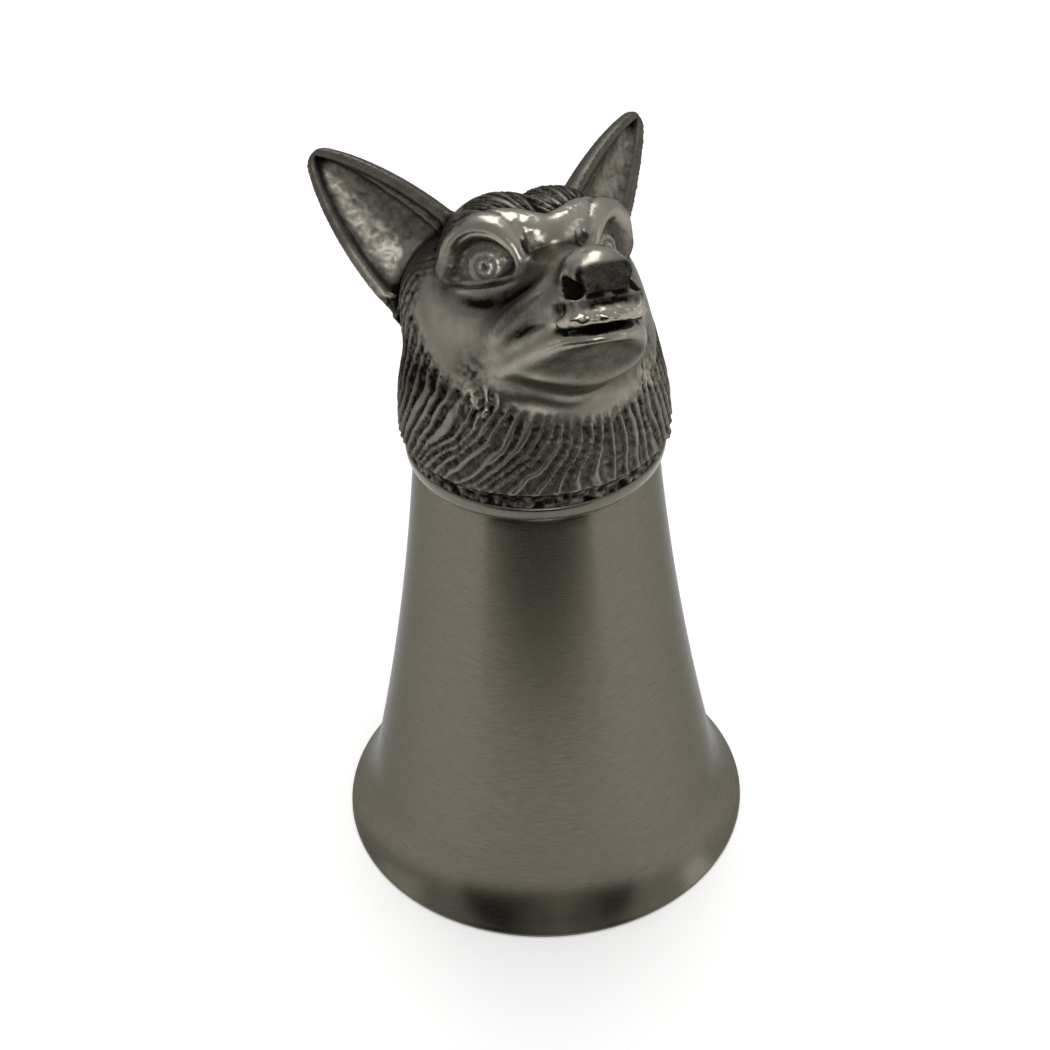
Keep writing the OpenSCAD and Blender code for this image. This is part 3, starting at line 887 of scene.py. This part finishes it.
def face_lines(relief):
    """Line of the lips, lower edge of the nose, folds of the muzzle, and crease and ledge of the brow."""
    lips = ((9.3, 11.2, -8.7), (7.8, 15.6, -7.5), (5.4, 20.4, -5.9), (4.6, 23.6, -5.6))
    nose = ((4.0, 24.2, -1.7), (2.6, 25.9, -1.6), (0, 26.4, -1.6))
    fold = ((9.8, 11.6, -6.2), (9.8, 13.2, -4.4), (8.2, 16.7, -2.1), (6.1, 19.8, -0.4))
    lip_fold = ((8.6, 15.6, -5.6), (7.5, 18.2, -4.7), (6.6, 20.6, -4.3))
    crease = eye_curve((-4.6, 5.4, -0.6), (-1.0, 7.3, -0.8), (2.8, 6.6, -0.4), (5.0, 4.6, 0.2))
    ledge = ((6.6, 9.4, 5.9), (4.2, 10.9, 5.7), (1.6, 11.6, 5.3), (0, 11.8, 5.1))
    relief.stroke(lips, 0.5, 0.4, dark=0.9)
    relief.stroke(nose, 0.4, 0.25, ends=0.2, dark=0.4)
    relief.stroke(fold, 0.9, 0.12)
    relief.stroke(lip_fold, 0.7, 0.1)
    relief.stroke(crease, 0.45, 0.15, dark=0.3)
    relief.stroke(ledge, 0.6, 0.2, ends=0.3, dark=0.2)


def casting_flaws(relief):
    """Rough patch between the jaw and the fur on each side, and a nub of metal left at the foot."""
    p = relief.points
    patch = spot(relief.mirrored, (11.6, 6.0, -14.2), (3.6, 3.0, 3.0))
    flakes = speckle(p * np.array((1, 1, 0.35)), 0.6) * 0.6 + speckle(p + 6, 0.45) * 0.4
    relief.height += patch * (flakes - 0.55) * 0.9
    relief.lay_dark(patch * ramp(0.6 - flakes, -0.05, 0.15))
    relief.height += 0.8 * spot(relief.local, (16.6, 1.6, -22.6), math.sqrt(0.5))
    relief.marks["patch"] = patch


def brow_facets(relief):
    """Pitted facets of the inner brow, and the pitted top of the nose with one deeper hole."""
    p = relief.points
    m, f, u = relief.mirrored.T
    brow = bell(m - 3.4, 2.6) * bell(f - 9.6, 2.6) * ramp(u, 5.6, 6.6)
    nose = bell(f - 22.6, 2.2) * ramp(u, 2.6, 3.6) * ramp(5.0 - m, 0.0, 1.5)
    pits = speckle(p, 0.7) * 0.6 + speckle(p + 4, 0.4) * 0.4
    relief.height += (brow + nose) * (pits - 0.6) * 0.3
    hole = spot(relief.local, (-1.4, 24.0, 3.6), math.sqrt(0.3))
    relief.height -= 0.5 * hole
    relief.lay_dark(hole)
    relief.marks["facets"] = brow + nose


def eye_relief(relief):
    """Iris and pupil cut into the eyeball, the thin lower lids and the hollow below them, which is darkened
    as painted shade.
    """
    rel = relief.mirrored - EYE_AT
    inner, up, out = rel @ EYE_IN, rel[:, 2], rel @ EYE_OUT
    at_eye = (np.abs(out) < 3.5) & (np.abs(inner) < 6.5) & (np.abs(up) < 9)
    r = np.hypot(inner, up)
    rim = bell(r - 1.75, 0.25)
    ring = bell(r - 0.75, 0.2)
    pupil = 1 - ramp(r, 0.2, 0.6)
    grit = speckle(relief.points, 0.4) - 0.5
    sag = 0.03 * inner ** 2
    width = np.exp(-(inner / 4.2) ** 4)
    lid = bell(up + 1.9 - sag, 0.42) * width
    pouch = bell(up + 3.0 - sag, 0.45) * width
    hollow = bell(up + 4.4 - sag, 1.0) * bell(inner + 0.8, 3.2)
    ball = at_eye * ramp(3.9 - up - 0.12 * inner ** 2, 0.0, 0.6) * ramp(up, -1.7, -1.2)
    raised = 0.35 * lid + 0.35 * pouch - 0.5 * hollow
    relief.height += at_eye * raised + ball * (0.16 * rim + 0.12 * ring - 0.15 * pupil + 0.16 * grit)
    # darkens the pupil, and paints shade into the hollow under the eye
    relief.lay_dark(at_eye * (0.5 * pupil + 0.45 * hollow))
    relief.marks["eyeball"] = ball
    relief.marks["iris"] = ball * np.clip(rim + ring, 0, 1)


def teeth(relief):
    """Rough row of teeth along the upper lip, the pitted lip above it, and black in nostrils and mouth."""
    p = relief.points
    m, f, u = relief.mirrored.T
    front = ramp(f, 20.8, 22.4) * ramp(6.4 - m, 0.0, 0.8)
    rise = 0.11 * (relief.local[:, 0] + 4)
    row = front * bell(u + 4.0, 0.9)
    lip = front * ramp(-u, 1.6, 2.1) * ramp(u - rise, -5.6, -5.0)
    relief.height += row * 0.75 * (speckle(p, 0.75) - 0.45) - lip * 0.1 * speckle(p + 9, 0.45)
    relief.lay_dark(lip * (1 - row) * (0.7 + 0.5 * speckle(p, 0.8)))
    # the nostrils and the mouth slit are painted black as the shade inside them
    for reach in (CUTS[0].reach(relief.mirrored), MOUTH.reach(relief.local)):
        relief.lay_dark(2.0 * ramp(0.15 - reach, 0.0, 0.15))
    relief.marks["row"] = row


def ear_relief(relief):
    """Pitted hollow of each ear, with a fold inside its upper edge, painted shade over one half of the
    hollow, and its rough back.
    """
    form, p = relief.form, relief.points
    along, v, _ = form.ear_places(relief.mirrored.astype(np.float32))
    t = form.ear_share(along)
    half = form.ear_half(t)
    left = form.ear_open * np.array((-1, 1, 1))
    turned = [relief.normals @ (way @ form.axes) for way in (form.ear_open, left)]
    face = np.where(relief.local[:, 0] > 0, *turned)
    on_ear = ramp(along, -1.0, 1.5) * (np.abs(v) < half + 1.5)
    hollow = on_ear * ramp(face, 0.1, 0.5) * ramp(half - 1.3 - np.abs(v), 0.0, 0.7)
    hollow = hollow * ramp(0.93 - t, 0.0, 0.08)
    pits = mixed_speckle(p, 0.55, 5, 1.4)
    fold = bell(v + half * 0.62, 0.5) * hollow
    back = on_ear * ramp(-face, 0.1, 0.5) * ramp(half - 1.2 - np.abs(v), 0.0, 0.8)
    relief.height += hollow * (pits - 0.5) * 0.25 + 0.3 * fold + back * (speckle(p, 0.6) - 0.5) * 0.25
    relief.lay_dark(hollow * ramp(0.5 - pits, -0.05, 0.2) * 0.35)
    # painted shade: one half of the hollow is darker
    relief.lay_dark(hollow * ramp(-v, -1.0, 2.5) * 0.6)
    relief.marks.update(hollow=hollow, inside=on_ear * ramp(face, -0.1, 0.2), on_ear=on_ear)


def painted_shade_and_darkening(relief):
    """Broad darkening: painted dark reflection on the bevel of the lower jaw, painted shade on the sides of
    the muzzle, under the eyes and round the nostrils, and plain darkening of the front of the nose, the
    crown, temples and jowls."""
    side = relief.mirrored
    m, f, u = side.T
    arch = (m / 9.5) ** 2
    jaw = ramp(-6.6 - 2.4 * arch - u, -0.2, 1.6) * ramp(u + 13.4 - 3.0 * arch, 0.0, 2.8) * ramp(f, 11.0, 15.0)
    muzzle = bell(f - 15.0, 5.0) * bell(u + 1.8, 4.0) * ramp(m, 2.5, 4.5)
    cheek = bell(f - 8.5, 3.5) * bell(u + 1.8, 1.8) * ramp(m, 6.0, 8.0)
    nose = ramp(f, 25.2, 25.9) * ramp(u, -1.7, -1.2) * ramp(2.8 - u, 0.0, 0.8)
    crown = ramp(u, 7.5, 9.5) * ramp(8.5 - f, 0.0, 2.0)
    nostril = spot(side, (4.2, 24.0, -0.1), (1.2, 1.8, 1.6))
    temple = spot(side, (13.5, 3.6, 3.8), (1.8, 1.8, 2.8))
    jowl = spot(side, (12.0, 6.8, -9.2), (2.6, 2.8, 2.3))
    jowl *= 0.25 + 0.5 * ramp(speckle(relief.points, 0.5), 0.4, 0.7)
    # the jaw term is painted dark reflection; the muzzle, cheek and nostril terms are painted shade
    face = 0.52 * jaw + 0.65 * muzzle + 0.3 * cheek + 0.75 * nose + 0.6 * nostril
    return face + 0.35 * crown + 0.6 * temple + jowl


def wear(relief, points, fine, broad, furry, patch, facets, eyeball, iris, row, hollow, inside, on_ear):
    """Patina left in the recesses and buffing of the high places, with painted shade in the broad hollows and
    from painted_shade_and_darkening, darkening on the outer sides of the head, and painted highlights on the
    bridge, cheeks, throat, brow and nose facets, teeth, rough patch and ear hollows.
    """
    side = relief.mirrored
    # darker on the outer sides of the head, most of all low down
    flank = ramp(side[:, 0], 12.5, 16.0) * (0.03 + 0.4 * ramp(relief.local[:, 2], -15, -9))
    fringe = (1 - furry) * ramp(speckle(points, 0.45), 0.45, 0.7)
    groove = np.clip(fine / 0.12, 0, 1) * (0.5 - 0.2 * furry - 0.3 * hollow - 0.3 * eyeball)
    # broad hollows get patina and painted shade
    dip = np.clip(broad / 0.5, 0, 1) * (1 - inside) * (1 - 0.6 * eyeball)
    ridge = np.clip(-fine / 0.06, 0, 1) * (1 - 0.6 * on_ear)
    # painted highlights: soft pale spots on the bridge, cheeks and throat
    bridge = spot(side, (0, 11.2, 5.8), (6.5, 2.2, 2.2))
    cheek = spot(side, (11.8, 5.6, -4.2), (3.5, 3.5, 3.0))
    throat = spot(side, (0, 11.5, -14.0), (7.0, 3.0, 2.4))
    recess = furry * (0.12 + flank + 1.6 * fringe) + groove + 0.5 * dip + 0.6 * relief.dark + painted_shade_and_darkening(relief)
    # painted highlights take the dark off the teeth, facets, ear hollows, bridge and rough patch
    recess -= 0.5 * row + 0.4 * facets + 0.2 * hollow + 0.7 * bridge + 0.25 * patch
    polish = 0.47 + 0.35 * ridge - 0.3 * furry - 0.25 * eyeball - 0.3 * on_ear
    # painted highlights make the cheeks, throat, teeth, facets, rough patch and ear hollows paler and
    # glossier; the iris ring is buffed
    polish += 0.2 * cheek + 0.5 * throat + 0.4 * iris + 0.7 * row + 0.6 * facets + 0.4 * patch + 0.36 * hollow
    return recess, polish


def neighbour_mean(values, edges, count):
    """Mean of each point's neighbours."""
    total = np.zeros_like(values)
    for a, b in ((0, 1), (1, 0)):
        for k in range(values.shape[1]):
            total[:, k] += np.bincount(edges[:, a], values[edges[:, b], k], len(values))
    return total / count[:, None]


def hollowness(points, normals, edges, passes):
    """How far the smoothed skin lies above each point: positive in hollows, negative on ridges."""
    count = np.bincount(edges.ravel(), minlength=len(points)).astype(float)
    smooth = points.copy()
    for _ in range(passes):
        smooth = neighbour_mean(smooth, edges, np.maximum(count, 1))
    return np.sum((smooth - points) * normals, axis=1)


def mesh_arrays(mesh):
    """Normals and edges of a mesh."""
    normals = np.empty(len(mesh.vertices) * 3, np.float32)
    mesh.vertex_normals.foreach_get("vector", normals)
    edges = np.empty(len(mesh.edges) * 2, np.int32)
    mesh.edges.foreach_get("vertices", edges)
    return normals.reshape(-1, 3).astype(float), edges.reshape(-1, 2)


def paint(mesh, **layers):
    """Keeps values from 0 to 1 on the points of a mesh, where its material reads them."""
    for name, values in layers.items():
        layer = mesh.attributes.new(name, "FLOAT", "POINT")
        layer.data.foreach_set("value", np.clip(values, 0, 1).astype(np.float32))


class HEAD_OT_build(bpy.types.Operator):
    """Cast fox head with its fur, eyes, mouth and ears"""

    bl_idname = "stirrup_cup.fox_head"
    bl_label = "Fox head"

    def execute(self, context):
        head = context.scene.fox_head
        form = HeadForm(head)
        margin = np.array((2.0, 4.0, 2.0))
        points, quads = skin_mesh(form.whole, HEAD_LOW - margin, HEAD_HIGH + margin, head.voxel / MM)
        points = points.astype(float)
        pewter = antique_pewter(head, "antiqued cast pewter")
        mesh = make_piece("cast_fox_head", points, quads, pewter, "cast_pewter", "fox_head").data
        normals, _ = mesh_arrays(mesh)
        relief = Relief(form, points, normals)
        for carving in (face_lines, eye_relief, teeth, brow_facets, casting_flaws, ear_relief):
            carving(relief)
        fur = FoxFur(form, head)
        fur.press(relief)
        # a low bead runs round the foot, which itself stays flat on the seam
        above = points[:, 2] - form.neck_z
        relief.height += 0.12 * bell(above - 0.5, 0.35)
        points = points + normals * (relief.height * ramp(above, 0.02, 0.3))[:, None]
        mesh.vertices.foreach_set("co", (points * MM).ravel())
        mesh.update()
        normals, edges = mesh_arrays(mesh)
        fine, broad = (hollowness(points, normals, edges, passes) for passes in (6, 60))
        furry = fur.cover(relief.local, points)
        recess, polish = wear(relief, points, fine, broad, furry, **relief.marks)
        paint(mesh, recess=recess, polish=polish)
        return {"FINISHED"}


class SEAM_OT_build(bpy.types.Operator):
    """Soldered seam under the head, with the pits and blobs of the solder"""

    bl_idname = "stirrup_cup.head_solder"
    bl_label = "Soldered seam"

    def execute(self, context):
        head = context.scene.fox_head
        low, high, top_r = SEAM_LOW[2], SEAM_HIGH[2], SEAM_HIGH[0]
        low_r, rows, sides = RING_HIGH[0] - 0.2, 14, 480
        wall = [
            (low_r + (top_r - low_r) * t - 0.35 * math.sin(math.pi * t), low + (high - low) * t)
            for t in np.linspace(1, 0, rows)
        ]
        points, faces = lathe([(SPIGOT_R, high)] + wall + [(SPIGOT_R, low)], sides)
        points = np.array(points)
        radius = np.hypot(points[:, 0], points[:, 1])
        outer = radius > SPIGOT_R + 0.5
        lumps = mixed_speckle(points, 0.8, 3, 0.4)
        push = np.where(outer, (lumps - 0.6) * 0.8, 0)
        points[:, :2] *= (1 + push / radius)[:, None]
        solder = antique_pewter(head, "antiqued soft solder")
        piece = make_piece("solder_seam", points, faces, solder, "solder", "head_solder")
        paint(piece.data, recess=0.55 + 1.2 * (0.6 - lumps), polish=lumps)
        return {"FINISHED"}


def pale_floor(stage):
    """Matt white paper: even and pale, with a faint tooth, and it keeps the cup's shadow."""
    material, add = empty_tree(bpy.data.materials.new("matt white paper"))
    place = add("TexCoord", output="Object")
    tooth = add("TexNoise", {"Vector": place, "Scale": 1 / (0.8 * MM), "Detail": 2.0})
    bump = add("Bump", {"Height": tooth, "Strength": 0.05, "Distance": 0.05 * MM})
    paper = add("BsdfPrincipled", {
        "Base Color": stage.floor, "Roughness": 0.9, "Specular IOR Level": 0.1, "Normal": bump,
    })
    rays = add("LightPath", output=None)
    seen = rays["Is Camera Ray"]
    for ray in ("Is Glossy Ray", "Is Transmission Ray"):
        seen = add("Math", {0: seen, 1: rays[ray]}, operation="MAXIMUM")
    lift = add("Math", {0: seen, 1: 0.2}, operation="MULTIPLY")
    glow = add("Emission", {"Color": (1, 1, 1, 1), "Strength": lift})
    add("OutputMaterial", {"Surface": add("AddShader", {0: paper, 1: glow})}, output=None)
    return material


# Direction of the pale wall behind the fox and to its left
ROOM_LIGHT_SIDE = Vector((0.8, 0.5, 0.34)).normalized()


def studio_world(scene):
    """Soft room light that grows towards a pale wall, which the metal mirrors."""
    scene.world, add = empty_tree(bpy.data.worlds.new("soft room"))
    look = add("TexCoord", output="Generated")
    behind = add("VectorMath", {0: look, 1: ROOM_LIGHT_SIDE}, output="Value", operation="DOT_PRODUCT")
    spread = {"Value": behind, "From Min": -0.6, "From Max": 0.75, "To Min": 0.5, "To Max": 0.8}
    level = add("MapRange", spread, interpolation_type="SMOOTHSTEP")
    sky = add("Background", {"Color": linear("#f5f6fa"), "Strength": level})
    add("OutputWorld", {"Surface": sky}, output=None)


# Name, place, width, height and brightness of each softbox, sizes in metres
SOFTBOXES = (
    ("ceiling softbox", (0.08, 0.2, 0.77), 0.34, 0.6, 4.0),
    ("front softbox", (-0.17, -0.64, 0.31), 0.3, 0.26, 4.2),
    ("left softbox", (-0.6, 0.14, 0.24), 0.3, 0.26, 0.55),
    ("right strip", (0.5, -0.29, 0.18), 0.14, 0.24, 1.1),
)
LIGHT_AIM = Vector((0, 0, 0.08))


def softbox(scene, name, at, width, height, radiance):
    """Area lamp whose face has the given brightness, where 1 is white."""
    lamp = bpy.data.lights.new(name, "AREA")
    lamp.shape = "RECTANGLE"
    lamp.size, lamp.size_y = width, height
    lamp.energy = radiance * math.pi * width * height
    box = bpy.data.objects.new(name, lamp)
    at = Vector(at)
    box.matrix_world = Matrix.Translation(at) @ (at - LIGHT_AIM).to_track_quat("Z", "Y").to_matrix().to_4x4()
    scene.collection.objects.link(box)


def stage_sheet(scene, name, corners, material):
    """Flat sheet of the stage with four corners in metres."""
    mesh = bpy.data.meshes.new(name)
    mesh.from_pydata(corners, [], [(0, 1, 2, 3)])
    mesh.materials.append(material)
    sheet = bpy.data.objects.new(name, mesh)
    scene.collection.objects.link(sheet)
    return sheet


def dark_card(scene, azimuth):
    """Dark card with a feathered edge, standing by the cup out of the picture: the brushed wall and the
    lip mirror it as a soft dark streak and a dark band."""
    back, half, top = 0.116, 0.12, 0.1
    material, add = empty_tree(bpy.data.materials.new("matt black card"))
    place = add("TexCoord", output="Object")
    share = add("VectorMath", {0: place, 1: (1 / half, 0, 1 / top)}, operation="MULTIPLY")
    inwards = add("TexGradient", {"Vector": share}, output="Fac", gradient_type="SPHERICAL")
    cover = add("MapRange", {"Value": inwards, "From Max": 0.15}, interpolation_type="SMOOTHSTEP")
    black = add("BsdfDiffuse", {"Color": linear("#120f0e")})
    feathered = add("MixShader", {0: cover, 1: add("BsdfTransparent"), 2: black})
    add("OutputMaterial", {"Surface": feathered}, output=None)
    corners = [(-half, 0, 0), (half, 0, 0), (half, 0, top), (-half, 0, top)]
    card = stage_sheet(scene, "front_card", corners, material)
    card.matrix_world = Matrix.Rotation(azimuth, 4, "Z") @ Matrix.Translation((0, -back, 0))
    card.visible_camera = False
    card.visible_diffuse = False
    card.visible_shadow = False


def photo_camera(stage):
    """Camera at the photograph's viewing angle, for a square image."""
    image_px, focal_px = 1050, 1800
    lens = bpy.data.cameras.new("photo camera")
    lens.sensor_width = 36
    lens.lens = focal_px / image_px * lens.sensor_width
    lens.clip_start = 0.01
    camera = bpy.data.objects.new("photo camera", lens)
    place = Matrix.Rotation(stage.azimuth, 4, "Z")
    place @= Matrix.Translation((0, -stage.camera_back, stage.camera_h))
    turns = ((-stage.camera_yaw, "Z"), (math.pi / 2 - stage.camera_pitch, "X"), (stage.camera_roll, "Z"))
    for turn, axis in turns:
        place @= Matrix.Rotation(turn, 4, axis)
    camera.matrix_world = place
    return camera


class STAGE_OT_build(bpy.types.Operator):
    """Pale floor, soft studio light and the camera"""

    bl_idname = "stirrup_cup.stage"
    bl_label = "Stage"

    def execute(self, context):
        scene = context.scene
        stage = scene.cup_stage
        half, depth = 1.5, -0.02 * MM
        corners = [(-half, -half, depth), (half, -half, depth), (half, half, depth), (-half, half, depth)]
        floor = stage_sheet(scene, "floor", corners, pale_floor(stage))
        studio_world(scene)
        dark_card(scene, stage.azimuth)
        for row in SOFTBOXES:
            softbox(scene, *row)
        camera = photo_camera(stage)
        scene.collection.objects.link(camera)
        scene.camera = camera
        scene.view_settings.view_transform = "Standard"
        return {"FINISHED"}


class VIEW3D_PT_stirrup_cup(bpy.types.Panel):
    """Sizes, colours and build steps of the stirrup cup"""

    bl_idname = "VIEW3D_PT_stirrup_cup"
    bl_label = "Stirrup cup"
    bl_space_type = "VIEW_3D"
    bl_region_type = "UI"
    bl_category = "Stirrup cup"

    def draw(self, context):
        layout = self.layout
        scene = context.scene
        for group in (scene.stirrup_cup, scene.fox_head, scene.cup_stage):
            box = layout.box()
            for name in group.bl_rna.properties.keys():
                if name not in ("rna_type", "name"):
                    box.prop(group, name)
        for operator in OPERATORS:
            layout.operator(operator.bl_idname)


OPERATORS = (CUP_OT_build, RING_OT_build, SEAM_OT_build, HEAD_OT_build, STAGE_OT_build)
CLASSES = (CupSettings, HeadSettings, StageSettings) + OPERATORS + (VIEW3D_PT_stirrup_cup,)


def register():
    for item in CLASSES:
        bpy.utils.register_class(item)
    bpy.types.Scene.stirrup_cup = bpy.props.PointerProperty(type=CupSettings)
    bpy.types.Scene.fox_head = bpy.props.PointerProperty(type=HeadSettings)
    bpy.types.Scene.cup_stage = bpy.props.PointerProperty(type=StageSettings)


def unregister():
    del bpy.types.Scene.cup_stage
    del bpy.types.Scene.fox_head
    del bpy.types.Scene.stirrup_cup
    for item in reversed(CLASSES):
        bpy.utils.unregister_class(item)


def main():
    register()
    bpy.ops.stirrup_cup.cup()
    bpy.ops.stirrup_cup.neck_ring()
    bpy.ops.stirrup_cup.head_solder()
    bpy.ops.stirrup_cup.fox_head()
    bpy.ops.stirrup_cup.stage()
    bpy.context.view_layer.update()


if __name__ == "__main__":
    main()
